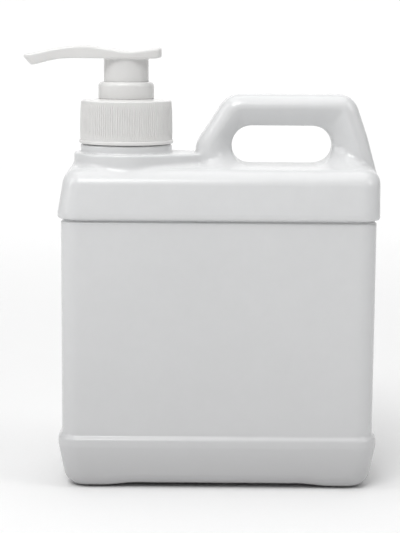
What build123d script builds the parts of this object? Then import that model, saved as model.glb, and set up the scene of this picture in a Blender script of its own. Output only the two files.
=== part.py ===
from build123d import *
import os
from math import cos, radians, sin, sqrt, tan

# Detergent dispenser bottle: a blow-moulded flat can with a hollow carrying
# handle, and a push-down pump screwed on its neck. Millimetres, +Z up. The
# origin lies on the surface it stands on, under the middle of its outline.

os.makedirs("parts", exist_ok=True)

# ------------------------------------------------------------ bottle, driving
body_width = 143.4        # across the foot band, left to right
body_depth = 60.0         # across the foot band, front to back
shoulder_height = 144.8
wall = 1.1
band_corner = 9.5         # plan corner radius of the foot and shoulder bands
panel_step = 1.7          # the label panel lies this far inside the bands
band_lip_round = 1.5      # edge where each band steps in to the panel
foot_band_top = 24.0
foot_widest_height = 19.5
foot_draft = 10.0         # degrees
base_round = 4.5
base_arch_rise = 1.3      # the base is raised between its two end feet
base_foot_length = 20.0   # flat ends that it stands on
shoulder_band_depth = 23.0
shoulder_lip_height = 3.0
shoulder_draft = 9.2      # degrees
shoulder_round = 5.0

# -------------------------------------------------------- deck and neck, driving
neck_to_side = 29.7       # neck axis to the bottle's left side
deck_ledge = 3.0          # deck round the foot of the neck
deck_rise = 5.0           # above the shoulder
deck_edge_round = 1.0
deck_end_radius = 15.0    # where the deck runs into the handle
neck_base_step = 3.1      # neck's foot outside its thread root
neck_base_rise = 3.7      # above the deck
neck_radius = 17.5        # at the thread's root
neck_wall = 2.9
neck_length = 19.3        # deck to the sealing land
thread_pitch = 25.4 / 6   # six threads to the inch
thread_turns = 1.5
thread_height = 1.2
thread_foot = 2.2         # axial width at the root
thread_crest = 1.2
thread_below_land = 1.75  # sealing land to the top of the thread's centre line
thread_sink = 0.2         # how far a thread's foot runs into its wall

# --------------------------------------------------------------- handle, driving
handle_rise = 31.6        # above the shoulder
handle_half_thickness = 12.5
handle_edge_round = 6.0
handle_from_neck = 31.4   # neck axis to the handle's left foot
handle_side_step = 2.0    # the right post lies this far inside the foot band
handle_left_slope = 12.5  # how far the left post leans in below its corner
handle_right_slope = 10.5
handle_left_corner = 12.0
handle_right_corner = 10.0
grip_height = 17.8        # finger opening
grip_from_left = 16.3     # handle's left foot to the opening
grip_from_right = 20.6    # bottle's right side to the opening
grip_floor_drop = 0.4     # the opening's lower edge dips this far into the shoulder
grip_edge_round = 5.0
handle_root = 10.0        # how deep the loop runs into the shoulder

# ----------------------------------------------------------------- pump, driving
gap = 0.05                # faces that meet across a moving joint
slide_clearance = 0.3     # loose guide between moulded parts
seal_clearance = 0.1      # piston, stem and spring guide fits
seat_clearance = 0.02     # pieces pushed into each other
stroke = 10.0
run_over = 1.0            # how far a cut runs past the face it opens
closure_lift = 0.3        # closure's lower edge above the neck's foot
closure_panel = 1.35      # thickness of its top
closure_wall = 1.4        # between the ribs
closure_bead = 0.9        # stands out from the wall round the lower edge
closure_bead_height = 1.5
thread_clearance = 0.3    # neck thread's crest to the closure's bore
thread_tip_clearance = 0.4  # closure thread's crest to the neck
closure_cone_rise = 0.8   # from the closure's edge up to the chaplet
closure_edge_round = 0.5
closure_rib_count = 120
closure_rib_radius = 0.3
closure_thread_turns = 1.25
closure_thread_lag = 20.0  # degrees past the neck thread's start
closure_thread_foot = 1.7
closure_thread_crest = 0.9
thread_play = 0.1         # along the axis
gasket_thickness = 1.3
flange_thickness = 1.2
flange_inset = 0.3        # from the neck's thread root
cup_clearance = 1.2       # housing cup to the neck's bore
cup_wall = 1.65
cup_floor = 1.2
vent_radius = 0.7
vent_drop = 2.0           # below the chaplet's lower end
chaplet_wall = 1.3
chaplet_rim = 2.2         # width of its upper rim
chaplet_rim_round = 1.9
chaplet_height = 7.5
skirt_room = 1.1          # under the head's skirt at the end of the stroke
chaplet_floor_up = 1.2    # skirt end to the underside of the floor
chaplet_floor = 1.2
chaplet_boss_wall = 1.8
chaplet_boss_height = 6.0
snap_bead = 0.35
cylinder_wall = 1.1
stem_radius = 4.5
stem_wall = 1.8
stem_shoulder_step = 1.2
stem_shoulder_height = 1.7
stem_port_radius = 1.1
stem_port_edge = 0.55     # stem's lower end to the port
piston_height = 6.2
piston_hub_wall = 1.3
piston_groove = 0.8       # hub to sleeve
piston_relief = 0.3       # sleeve's waist inside its lips
piston_sleeve_wall = 0.7
piston_web = 1.4
piston_lip_height = 0.8
poppet_clearance = 1.4    # disc to the cylinder, where the liquid passes
poppet_disc_thickness = 1.4
poppet_stud_length = 5.5
poppet_stud_width = 3.4
poppet_pin_radius = 2.2
poppet_pin_length = 6.0
spring_length = 36.0      # as installed, head up
spring_radius = 5.0       # to the middle of the wire
spring_wire_radius = 0.45
spring_turns = 9.0
ball_radius = 2.4
ball_lift = 1.5
valve_hole_radius = 1.5
valve_cone_margin = 0.9   # cone's wide end outside the ball
cage_top = 1.0
cage_hole_radius = 1.6
cage_slot_width = 1.4
cage_slot_reach = 3.6
valve_floor = 3.0
socket_length = 12.0
socket_wall = 1.4
tube_radius = 3.5
tube_wall = 0.9
tube_end_height = 5.0
tube_end_angle = 45.0

# ----------------------------------------------------------------- head, driving
skirt_wall = 1.1
skirt_overlap = 4.0       # skirt below the chaplet's rim, head up
spout_reach = 46.7        # neck axis to the spout's tip
tail_reach = 16.0
spout_top_rise = 5.8      # the spout's crest above the head's underside
tail_top_rise = 5.0
saddle_rise = 3.7         # finger pad's lowest point
saddle_offset = 2.0       # from the neck axis, towards the tail
crest_offset = 20.0       # from the neck axis, towards the spout
tip_top_rise = 1.4
tip_bottom_drop = 3.2
tip_undercut = 4.0
spout_straight = 20.8     # the underside is level this far from the axis
pad_overhang = 1.1        # the finger pad's side outside the skirt
tail_half_width = 8.0
tail_sweep = 0.6          # slope of the plan outline at the tail
spout_half_width = 4.7
waist_offset = 22.0       # where the paddle has narrowed to the spout
head_edge_round = 1.2
channel_radius = 1.5
channel_elbow_rise = 0.6  # above the head's underside, over the stem
channel_rise = 2.9        # highest point
channel_dip = 0.5
channel_crest_offset = 19.0
channel_bend_run = 10.0
channel_bends = [2.5, 12.0, 30.0, 30.0]
outlet_drop = 0.3         # below the middle of the tip
head_rest_gap = 0.4       # left under the head at the end of the stroke
socket_depth = 5.5        # stem pushed into the head below the underside
head_socket_wall = 1.4
stem_seat_drop = 2.7      # stem's end below the head's underside
skirt_root = 0.5          # how far the skirt and socket run into the paddle

# ------------------------------------------------- derived radii, from the neck inwards
neck_bore_radius = neck_radius - neck_wall
neck_base_radius = neck_radius + neck_base_step
deck_radius = neck_base_radius + deck_ledge
closure_bore_radius = neck_radius + thread_height + thread_clearance
closure_thread_height = thread_height + thread_clearance - thread_tip_clearance
closure_radius = closure_bore_radius + closure_wall
closure_bead_radius = closure_radius + closure_bead
flange_radius = neck_radius - flange_inset
cup_radius = neck_bore_radius - cup_clearance
cup_bore_radius = cup_radius - cup_wall
chaplet_skirt_radius = cup_bore_radius - gap
chaplet_bore_radius = chaplet_skirt_radius - chaplet_wall
chaplet_radius = chaplet_bore_radius + chaplet_rim
closure_hole_radius = chaplet_skirt_radius + slide_clearance
skirt_radius = chaplet_bore_radius - slide_clearance
head_half_width = skirt_radius + pad_overhang

# -------------------------------------------------- derived radii, from the stem outwards
stem_bore_radius = stem_radius - stem_wall
stem_shoulder_radius = stem_radius + stem_shoulder_step
stem_guide_radius = stem_radius + seal_clearance
chaplet_boss_radius = stem_guide_radius + chaplet_boss_wall
piston_hub_radius = stem_guide_radius + piston_hub_wall
piston_sleeve_bore = piston_hub_radius + piston_groove
piston_sleeve_radius = piston_sleeve_bore + piston_sleeve_wall
piston_lip_radius = piston_sleeve_radius + piston_relief
cylinder_bore_radius = piston_lip_radius + seal_clearance
cylinder_radius = cylinder_bore_radius + cylinder_wall
poppet_disc_radius = cylinder_bore_radius - poppet_clearance
valve_cone_radius = ball_radius + valve_cone_margin
tube_bore_radius = tube_radius - tube_wall
socket_bore_radius = tube_radius + seat_clearance

# ---------------------------------------------------------------- derived places
closure_reach = spout_reach - neck_to_side
body_x = closure_reach / 2
body_left = body_x - body_width / 2
body_right = body_x + body_width / 2
neck_x = body_left + neck_to_side
deck_height = shoulder_height + deck_rise
neck_base_height = deck_height + neck_base_rise
land_height = deck_height + neck_length
flange_bottom = land_height + gasket_thickness
flange_top = flange_bottom + flange_thickness
panel_top = flange_top + gap
closure_bottom = neck_base_height + closure_lift
closure_edge_height = panel_top + closure_panel
closure_top = closure_edge_height + closure_cone_rise
chaplet_bottom = closure_top + gap
chaplet_top = chaplet_bottom + chaplet_height
skirt_end = chaplet_top - skirt_overlap
guide_top = skirt_end - stroke - skirt_room
guide_bottom = guide_top - chaplet_floor
chaplet_end = guide_bottom - chaplet_floor_up
boss_top = guide_top + chaplet_boss_height
head_underside = chaplet_top + stroke + head_rest_gap
stem_top = head_underside - stem_seat_drop
stem_shoulder_top = guide_bottom - gap
stem_shoulder_bottom = stem_shoulder_top - stem_shoulder_height
piston_top = stem_shoulder_bottom - gap
piston_bottom = piston_top - piston_height
poppet_top = piston_bottom - gap
poppet_bottom = poppet_top - poppet_disc_thickness
spring_end = poppet_bottom - spring_length
ball_rise = ball_radius * sqrt(2) - valve_hole_radius + gap * sqrt(2)
valve_cone_depth = valve_cone_radius - valve_hole_radius
cage_ball_room = ball_rise - valve_cone_depth + ball_radius + ball_lift + gap
valve_face = spring_end - cage_top - cage_ball_room
vent_height = chaplet_end - vent_drop
ball_height = valve_face - valve_cone_depth + ball_rise
socket_top = valve_face - valve_floor
socket_end = socket_top - socket_length

neck_axis = Axis((neck_x, 0, 0), (0, 0, 1))
neck_section = Plane(origin=(neck_x, 0, 0), x_dir=(1, 0, 0), z_dir=(0, -1, 0))
side_section = Plane(origin=(0, 0, 0), x_dir=(1, 0, 0), z_dir=(0, -1, 0))


def finish(piece, name):
    """Label a finished piece and write its file."""
    piece.part.label = name
    export_step(piece.part, f"parts/{name}.step")


def turned(points):
    """A solid of revolution about the neck axis from (radius, height) points."""
    with BuildPart() as shape:
        with BuildSketch(neck_section):
            with BuildLine():
                Polyline(*points, close=True)
            make_face()
        revolve(axis=neck_axis)
    return shape.part


def ring(inner, outer, bottom, top):
    """A plain ring about the neck axis."""
    return turned([(inner, bottom), (outer, bottom), (outer, top), (inner, top)])


def thread(root_radius, crest_radius, foot, crest, start_height, start_angle, turns):
    """A helical thread ridge about the neck axis, with a little sunk in its wall."""
    sink = thread_sink if crest_radius > root_radius else -thread_sink
    start = radians(start_angle)
    outward = (cos(start), sin(start), 0)
    base = Plane(origin=(neck_x, 0, start_height), x_dir=outward, z_dir=(0, 0, 1))
    section = Plane(
        origin=(neck_x, 0, start_height),
        x_dir=outward,
        z_dir=(sin(start), -cos(start), 0),
    )
    with BuildPart() as ridge:
        with BuildLine(base):
            Helix(pitch=thread_pitch, height=thread_pitch * turns, radius=root_radius)
        with BuildSketch(section):
            with BuildLine():
                Polyline(
                    (root_radius - sink, -foot / 2),
                    (crest_radius, -crest / 2),
                    (crest_radius, crest / 2),
                    (root_radius - sink, foot / 2),
                    close=True,
                )
            make_face()
        sweep(is_frenet=True)
    return ridge.part


def rounded_block(height, width, depth, corner, rise, draft, end_round):
    """A rounded rectangle drawn up or down from its widest line, its far edge rounded."""
    with BuildPart() as block:
        with BuildSketch(Plane.XY.offset(height)):
            with Locations((body_x, 0)):
                RectangleRounded(width, depth, corner)
        extrude(amount=rise, taper=draft)
        far_edges = block.edges().group_by(Axis.Z)[-1 if rise > 0 else 0]
        fillet(far_edges, end_round)
    return block.part


def handle_form(inset):
    """The handle's loop, or with an inset the hollow inside it."""
    left = neck_x + handle_from_neck
    bottom = shoulder_height - handle_root
    top = shoulder_height + handle_rise
    right_foot = body_right - handle_side_step
    grip_left = left + grip_from_left
    grip_right = body_right - grip_from_right
    grip_middle = ((grip_left + grip_right) / 2, shoulder_height - grip_floor_drop + grip_height / 2)
    with BuildPart() as loop:
        with BuildSketch(side_section):
            with BuildLine():
                FilletPolyline(
                    (left + inset, bottom),
                    (left + inset, deck_height),
                    (left + handle_left_slope + inset, top - inset),
                    (right_foot - handle_right_slope - inset, top - inset),
                    (right_foot - inset, shoulder_height),
                    (right_foot - inset, bottom),
                    radius=[handle_edge_round, handle_left_corner - inset, handle_right_corner - inset,
                            handle_edge_round],
                    close=False,
                )
                Line((right_foot - inset, bottom), (left + inset, bottom))
            make_face()
        extrude(amount=handle_half_thickness - inset, both=True)
        root_edges = loop.faces().sort_by(Axis.Z)[0].edges()
        fillet(loop.edges().filter_by(Axis.Y, reverse=True) - root_edges, handle_edge_round - inset)
        with BuildSketch(side_section):
            with Locations(grip_middle):
                SlotOverall(grip_right - grip_left + 2 * inset, grip_height + 2 * inset)
        extrude(amount=handle_half_thickness, both=True, mode=Mode.SUBTRACT)
        rim = loop.edges(Select.LAST).filter_by(Axis.Y, reverse=True)
        fillet(rim, grip_edge_round - inset)
    return loop.part


def bottle_form(inset):
    """The bottle's outside below the neck, or with an inset its cavity."""
    shoulder_lip = shoulder_height - shoulder_band_depth + shoulder_lip_height
    width = body_width - 2 * inset
    depth = body_depth - 2 * inset
    corner = band_corner - inset
    lip_round = band_lip_round - inset / 2
    foot = rounded_block(foot_widest_height, width, depth, corner,
                         inset - foot_widest_height, foot_draft, base_round - inset)
    foot_lip = rounded_block(foot_widest_height, width, depth, corner,
                             foot_band_top - inset - foot_widest_height, 0, lip_round)
    band = rounded_block(shoulder_lip, width, depth, corner,
                         shoulder_height - inset - shoulder_lip, shoulder_draft, shoulder_round - inset)
    band_lip = rounded_block(shoulder_lip, width, depth, corner,
                             inset - shoulder_lip_height, 0, lip_round)
    handle = handle_form(inset)
    arch_span = body_width - 2 * base_foot_length
    arch_radius = (arch_span ** 2 / 4 + base_arch_rise ** 2) / (2 * base_arch_rise)
    with BuildPart() as form:
        add(foot)
        add(foot_lip)
        add(band)
        add(band_lip)
        with BuildSketch(Plane.XY.offset(foot_widest_height)):
            with Locations((body_x, 0)):
                RectangleRounded(width - 2 * panel_step, depth - 2 * panel_step, corner - panel_step)
        extrude(amount=shoulder_lip - foot_widest_height)
        with BuildSketch(Plane.XY.offset(shoulder_height - shoulder_round + inset)):
            with BuildLine():
                CenterArc((neck_x, 0), deck_radius - inset, 0, 360)
                CenterArc((neck_x + handle_from_neck, 0), deck_end_radius - inset, 0, 360)
            make_hull()
        extrude(amount=shoulder_round + deck_rise - 2 * inset)
        fillet(form.faces().sort_by(Axis.Z)[-1].edges(), deck_edge_round - inset / 2)
        add(handle)
        with BuildSketch(side_section):
            with Locations((body_x, base_arch_rise - arch_radius)):
                Circle(arch_radius + inset)
        extrude(amount=body_depth, both=True, mode=Mode.SUBTRACT)
    return form.part


# ------------------------------------------------------------------------ bottle
outside = bottle_form(0)
cavity = bottle_form(wall)
neck_outside = turned([
    (0, deck_height - wall),
    (neck_base_radius, deck_height - wall),
    (neck_base_radius, neck_base_height),
    (neck_radius, neck_base_height),
    (neck_radius, land_height),
    (0, land_height),
])
neck_cavity = turned([
    (0, deck_height - 2 * wall),
    (neck_base_radius - wall, deck_height - 2 * wall),
    (neck_base_radius - wall, neck_base_height - wall),
    (neck_bore_radius, neck_base_height - wall),
    (neck_bore_radius, land_height + run_over),
    (0, land_height + run_over),
])
thread_start = land_height - thread_below_land - thread_pitch * thread_turns
neck_thread = thread(neck_radius, neck_radius + thread_height, thread_foot, thread_crest,
                     thread_start, 0, thread_turns)
with BuildPart() as bottle:
    add(outside)
    add(neck_outside)
    add(neck_thread)
    add(cavity, mode=Mode.SUBTRACT)
    add(neck_cavity, mode=Mode.SUBTRACT)
finish(bottle, "bottle")

# ----------------------------------------------------------------------- closure
closure_shell = turned([
    (closure_bore_radius, closure_bottom),
    (closure_bead_radius, closure_bottom),
    (closure_bead_radius, closure_bottom + closure_bead_height),
    (closure_radius, closure_bottom + closure_bead_height),
    (closure_radius, closure_edge_height - closure_edge_round),
    (closure_radius - closure_edge_round, closure_edge_height),
    (chaplet_radius, closure_top),
    (closure_hole_radius, closure_top),
    (closure_hole_radius, panel_top),
    (closure_bore_radius, panel_top),
])
# The closure's thread hangs below the neck's by their half widths where they overlap.
overlap_radius = neck_radius + thread_height
neck_half_width = thread_crest / 2
closure_slope = (closure_thread_foot - closure_thread_crest) / 2 / (closure_thread_height + thread_sink)
closure_sunk = closure_bore_radius + thread_sink - overlap_radius
closure_half_width = closure_thread_foot / 2 - closure_slope * closure_sunk
crest_radius = neck_radius + thread_tip_clearance
neck_slope = (thread_foot - thread_crest) / 2 / (thread_height + thread_sink)
inner_half_width = thread_foot / 2 - neck_slope * (crest_radius - neck_radius + thread_sink)
thread_drop = thread_play + max(
    neck_half_width + closure_half_width,
    inner_half_width + closure_thread_crest / 2,
)
closure_thread_start = thread_start - thread_drop + thread_pitch * closure_thread_lag / 360
closure_thread = thread(closure_bore_radius, crest_radius, closure_thread_foot, closure_thread_crest,
                        closure_thread_start, closure_thread_lag, closure_thread_turns)
with BuildPart() as closure:
    add(closure_shell)
    add(closure_thread)
    with BuildSketch(Plane(origin=(neck_x, 0, closure_bottom + closure_bead_height))):
        Circle(closure_radius)
        with PolarLocations(closure_radius, closure_rib_count):
            Circle(closure_rib_radius)
        Circle((closure_radius + closure_bore_radius) / 2, mode=Mode.SUBTRACT)
    extrude(amount=closure_edge_height - closure_edge_round - closure_bottom - closure_bead_height)
finish(closure, "closure")

# -------------------------------------------------------------- gasket and chaplet
with BuildPart() as gasket:
    add(ring(cup_radius + slide_clearance, flange_radius, land_height, flange_bottom))
finish(gasket, "gasket")

bead_height = (chaplet_end + closure_top) / 2 - snap_bead
with BuildPart() as chaplet:
    add(turned([
        (stem_guide_radius, guide_bottom),
        (chaplet_bore_radius, guide_bottom),
        (chaplet_bore_radius, chaplet_end),
        (chaplet_skirt_radius, chaplet_end),
        (chaplet_skirt_radius, bead_height - 2 * snap_bead),
        (chaplet_skirt_radius + snap_bead, bead_height),
        (chaplet_skirt_radius, bead_height + snap_bead),
        (chaplet_skirt_radius, chaplet_bottom),
        (chaplet_radius, chaplet_bottom),
        (chaplet_radius, chaplet_top),
        (chaplet_bore_radius, chaplet_top),
        (chaplet_bore_radius, guide_top),
        (chaplet_boss_radius, guide_top),
        (chaplet_boss_radius, boss_top),
        (stem_guide_radius, boss_top),
    ]))
    rim = chaplet.faces().sort_by(Axis.Z)[-1].edges().sort_by(SortBy.RADIUS)
    fillet(rim[-1], chaplet_rim_round)
finish(chaplet, "chaplet")

# ----------------------------------------------------------------------- housing
cup_floor_bottom = chaplet_end - cup_floor
with BuildPart() as housing:
    add(turned([
        (cup_bore_radius, flange_top),
        (flange_radius, flange_top),
        (flange_radius, flange_bottom),
        (cup_radius, flange_bottom),
        (cup_radius, cup_floor_bottom),
        (cylinder_radius, cup_floor_bottom - (cup_radius - cylinder_radius) / 2),
        (cylinder_radius, valve_face - valve_floor / 2),
        (socket_bore_radius + socket_wall, socket_top),
        (socket_bore_radius + socket_wall, socket_end),
        (socket_bore_radius, socket_end),
        (socket_bore_radius, socket_top),
        (valve_hole_radius, socket_top),
        (valve_hole_radius, valve_face - valve_cone_depth),
        (valve_cone_radius, valve_face),
        (cylinder_bore_radius, valve_face),
        (cylinder_bore_radius, chaplet_end),
        (cup_bore_radius, chaplet_end),
        (cup_bore_radius, bead_height - 2 * snap_bead - gap),
        (cup_bore_radius + snap_bead, bead_height),
        (cup_bore_radius, bead_height + snap_bead + gap),
    ]))
    with BuildSketch(Plane(origin=(neck_x, 0, vent_height), z_dir=(0, 1, 0))):
        Circle(vent_radius)
    extrude(amount=cup_radius, mode=Mode.SUBTRACT)
finish(housing, "housing")

# ------------------------------------------------------- suction valve and dip tube
cage_side = cylinder_bore_radius - seat_clearance
with BuildPart() as ball_cage:
    add(turned([
        (ball_radius + slide_clearance, valve_face),
        (cage_side, valve_face),
        (cage_side, spring_end),
        (cage_hole_radius, spring_end),
        (cage_hole_radius, spring_end - cage_top),
        (ball_radius + slide_clearance, spring_end - cage_top),
    ]))
    with BuildSketch(Plane.XY.offset(spring_end)):
        with Locations((neck_x, 0)):
            for angle in (0, 90):
                SlotOverall(2 * cage_slot_reach, cage_slot_width, rotation=angle)
    extrude(amount=valve_face - spring_end, mode=Mode.SUBTRACT)
finish(ball_cage, "ball_cage")

with BuildPart(Plane(origin=(neck_x, 0, ball_height))) as check_ball:
    Sphere(ball_radius)
finish(check_ball, "check_ball")

with BuildPart() as dip_tube:
    add(ring(tube_bore_radius, tube_radius, tube_end_height, socket_top))
    with BuildSketch(Plane(origin=(neck_x, tube_radius, tube_end_height), z_dir=(0, 1, 0))):
        with BuildLine():
            Polyline(
                (-tube_radius, 0),
                (tube_radius, 0),
                (tube_radius, 2 * tube_radius * tan(radians(tube_end_angle))),
                close=True,
            )
        make_face()
    extrude(amount=-2 * tube_radius, mode=Mode.SUBTRACT)
finish(dip_tube, "dip_tube")

# ------------------------------------------------------------------------- spring
spring_foot = spring_end + spring_wire_radius + gap / 2
spring_rise = spring_length - 2 * spring_wire_radius - gap
with BuildPart() as spring:
    with BuildLine(Plane.XY.offset(spring_foot).shift_origin((neck_x, 0, spring_foot))):
        Helix(pitch=spring_rise / spring_turns, height=spring_rise, radius=spring_radius)
    with BuildSketch(Plane(origin=(neck_x + spring_radius, 0, spring_foot), z_dir=(0, 1, 0))):
        Circle(spring_wire_radius)
    sweep(is_frenet=True)
finish(spring, "spring")

# ---------------------------------------------------------- piston, stem and poppet
web_bottom = (piston_top + piston_bottom - piston_web) / 2
with BuildPart() as piston:
    add(turned([
        (stem_guide_radius, piston_bottom),
        (piston_hub_radius, piston_bottom),
        (piston_hub_radius, web_bottom),
        (piston_sleeve_bore, web_bottom),
        (piston_sleeve_bore, piston_bottom),
        (piston_lip_radius, piston_bottom),
        (piston_lip_radius, piston_bottom + piston_lip_height),
        (piston_sleeve_radius, piston_bottom + 2 * piston_lip_height),
        (piston_sleeve_radius, piston_top - 2 * piston_lip_height),
        (piston_lip_radius, piston_top - piston_lip_height),
        (piston_lip_radius, piston_top),
        (piston_sleeve_bore, piston_top),
        (piston_sleeve_bore, web_bottom + piston_web),
        (piston_hub_radius, web_bottom + piston_web),
        (piston_hub_radius, piston_top),
        (stem_guide_radius, piston_top),
    ]))
finish(piston, "piston")

port_height = poppet_top + stem_port_edge + stem_port_radius
with BuildPart() as stem:
    add(turned([
        (stem_bore_radius, poppet_top),
        (stem_radius, poppet_top),
        (stem_radius, stem_shoulder_bottom),
        (stem_shoulder_radius, stem_shoulder_bottom),
        (stem_shoulder_radius, stem_shoulder_top),
        (stem_radius, stem_shoulder_top),
        (stem_radius, stem_top),
        (stem_bore_radius, stem_top),
    ]))
    with BuildSketch(Plane(origin=(neck_x, 0, port_height), z_dir=(0, 1, 0))):
        Circle(stem_port_radius)
    extrude(amount=stem_radius, both=True, mode=Mode.SUBTRACT)
finish(stem, "stem")

with BuildPart() as poppet:
    with BuildSketch(Plane.XY.offset(poppet_bottom)):
        with Locations((neck_x, 0)):
            Circle(poppet_disc_radius)
    extrude(amount=poppet_disc_thickness)
    with BuildSketch(Plane.XY.offset(poppet_top)):
        with Locations((neck_x, 0)):
            Circle(stem_bore_radius - seat_clearance)
            Rectangle(2 * stem_bore_radius, poppet_stud_width, mode=Mode.INTERSECT)
    extrude(amount=poppet_stud_length)
    with BuildSketch(Plane.XY.offset(poppet_bottom)):
        with Locations((neck_x, 0)):
            Circle(poppet_pin_radius)
    extrude(amount=-poppet_pin_length)
finish(poppet, "poppet")

# --------------------------------------------------------------------------- head
tip_x = neck_x - spout_reach
tail_x = neck_x + tail_reach
tip_middle = tip_x + tip_undercut / 2
with BuildPart() as head:
    with BuildSketch(side_section):
        with BuildLine():
            tail_top = (tail_x, head_underside + tail_top_rise)
            saddle = (neck_x + saddle_offset, head_underside + saddle_rise)
            crest = (neck_x - crest_offset, head_underside + spout_top_rise)
            tip_top = (tip_x, head_underside + tip_top_rise)
            tip_bottom = (tip_x + tip_undercut, head_underside - tip_bottom_drop)
            level_end = (neck_x - spout_straight, head_underside)
            Spline(tail_top, saddle, crest, tip_top)
            Line(tip_top, tip_bottom)
            TangentArc(level_end, tip_bottom, tangent=(-1, 0))
            Line(level_end, (tail_x, head_underside))
            Line((tail_x, head_underside), tail_top)
        make_face()
    extrude(amount=head_half_width, both=True)
    with BuildSketch(Plane.XY.offset(head_underside - tip_bottom_drop)):
        with BuildLine():
            Spline(
                (neck_x, head_half_width),
                (neck_x - waist_offset, spout_half_width + head_edge_round / 2),
                (tip_x, spout_half_width),
                tangents=((-1, 0), (-1, 0)),
            )
            Line((tip_x, spout_half_width), (tip_x, 0))
            Line((tip_x, 0), (tail_x, 0))
            Line((tail_x, 0), (tail_x, tail_half_width))
            Spline((tail_x, tail_half_width), (neck_x, head_half_width), tangents=((-1, tail_sweep), (-1, 0)))
        make_face()
        mirror(about=Plane.XZ)
    extrude(amount=spout_top_rise + tip_bottom_drop, mode=Mode.INTERSECT)
    add(ring(skirt_radius - skirt_wall, skirt_radius, skirt_end, head_underside + skirt_root))
    add(ring(stem_radius, stem_radius + head_socket_wall, stem_top - socket_depth,
             head_underside + skirt_root))
    with BuildLine() as channel:
        FilletPolyline(
            (neck_x, 0, stem_top),
            (neck_x, 0, head_underside + channel_elbow_rise),
            (neck_x - skirt_radius, 0, head_underside + channel_rise - channel_dip),
            (neck_x - channel_crest_offset, 0, head_underside + channel_rise),
            (tip_middle + channel_bend_run, 0, head_underside + channel_rise - channel_dip),
            (tip_middle - run_over, 0, head_underside - (tip_bottom_drop - tip_top_rise) / 2 - outlet_drop),
            radius=channel_bends,
        )
    with BuildSketch(Plane.XY.offset(stem_top)):
        with Locations((neck_x, 0)):
            Circle(channel_radius)
    sweep(path=channel.wires()[0], mode=Mode.SUBTRACT)
finish(head, "head")
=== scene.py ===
import math

import bpy
import numpy as np
from mathutils import Matrix, Vector


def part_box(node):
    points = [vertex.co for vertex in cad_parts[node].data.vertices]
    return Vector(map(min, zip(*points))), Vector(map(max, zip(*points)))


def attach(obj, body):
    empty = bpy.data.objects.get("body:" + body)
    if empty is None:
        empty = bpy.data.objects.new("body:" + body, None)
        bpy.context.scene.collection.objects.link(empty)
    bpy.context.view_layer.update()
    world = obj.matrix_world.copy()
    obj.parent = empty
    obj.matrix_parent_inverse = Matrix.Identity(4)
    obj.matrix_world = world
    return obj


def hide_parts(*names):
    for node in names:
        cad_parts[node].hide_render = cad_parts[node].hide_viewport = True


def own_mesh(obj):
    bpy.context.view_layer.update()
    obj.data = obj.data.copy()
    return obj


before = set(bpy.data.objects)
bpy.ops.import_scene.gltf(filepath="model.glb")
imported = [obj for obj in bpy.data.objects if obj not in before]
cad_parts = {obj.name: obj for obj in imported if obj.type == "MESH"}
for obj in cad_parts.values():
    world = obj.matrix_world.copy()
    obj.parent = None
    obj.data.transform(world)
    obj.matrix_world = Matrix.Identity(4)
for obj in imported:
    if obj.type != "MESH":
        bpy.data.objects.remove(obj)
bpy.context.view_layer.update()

# A flat one-litre detergent can with a hollow handle, and a push-down pump on its
# neck. Shapes are worked out in millimetres in the frame's axes (+X towards the
# handle, +Y to the back, +Z up) and written to the meshes in metres.

MM = 0.001


def node_box(name):
    """A CAD node's lowest and highest corners in millimetres."""
    low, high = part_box(name)
    return np.array(low) / MM, np.array(high) / MM


bottle_low, bottle_high = node_box("bottle")
closure_low, closure_high = node_box("closure")
chaplet_low, chaplet_high = node_box("chaplet")
head_low, head_high = node_box("head")

BODY_X = (bottle_low[0] + bottle_high[0]) / 2
NECK_X = (closure_low[0] + closure_high[0]) / 2
FOOT_HALF_X = (bottle_high[0] - bottle_low[0]) / 2
FOOT_HALF_Y = (bottle_high[1] - bottle_low[1]) / 2
HANDLE_TOP = bottle_high[2]
LAND = node_box("gasket")[0][2]

# ------------------------------------------------------------- bottle's own sizes
WALL = 1.1
SHOULDER = HANDLE_TOP - 31.6
DECK = SHOULDER + 5.0
NECK_BASE = DECK + 3.7
BAND_CORNER = 9.5
PANEL_CORNER = 8.0
PANEL_STEP = 1.7
FOOT_TOP = 24.2
FOOT_WIDEST = 19.5
FOOT_EDGE = 2.2
FOOT_FILLET = 1.2
FOOT_DRAFT = math.tan(math.radians(10.0))
BASE_ROUND = 6.0
FOOT_FLAT = 52.0
BASE_ARCH = 1.3
ARCH_RUN = 16.0
BAND_LIP = SHOULDER - 23.0
BAND_WIDEST = BAND_LIP + 2.6
BAND_DRAFT = math.tan(math.radians(9.2))
BAND_ROUND = 6.2
BAND_STEP = 0.2
LIP_ROUND = 1.2
LIP_FILLET = 0.25
PANEL_ROOT = 6.0
CROWN = 1.5
CROWN_REACH = 25.0
DECK_RADIUS = 23.6
DECK_END_X = NECK_X + 31.4
DECK_END_RADIUS = 10.0
DECK_EDGE = 1.0
DECK_ROOT = 8.0
DECK_FILLET = 2.6
NECK_BASE_RADIUS = 20.6
NECK_EDGE = 0.8
NECK_ROOT = 6.0
NECK_RADIUS = 17.5
NECK_BORE = 14.6
NECK_SUNK = 4.0
RUN_OVER = 2.0
HANDLE_LEFT = NECK_X + 31.4
HANDLE_HALF_Y = 13.0
HANDLE_ROUND = 8.0
HANDLE_ROOT = 3.0
CRISP_FILLET = 0.8
SOFT_FILLET = 11.0
GRIP_LEFT = HANDLE_LEFT + 16.3
GRIP_RIGHT = BODY_X + 51.1
GRIP_TOP = SHOULDER + 17.4
GRIP_FLOOR = SHOULDER - 0.4
GRIP_ROUND = 8.8
GRIP_EDGE = 1.0
RIDGE_INSET = 5.5
RIDGE_SOFT = 5.0
RIDGE_SWELL = 2.0
FUNNEL_SLOPE = 0.6
GRIP_HALF_Y = 4.0
LIP_GROOVE = 1.3
GROOVE_HEIGHT = 1.1
SEAM_HEIGHT = 0.05
SEAM_WIDTH = 0.30

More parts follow.
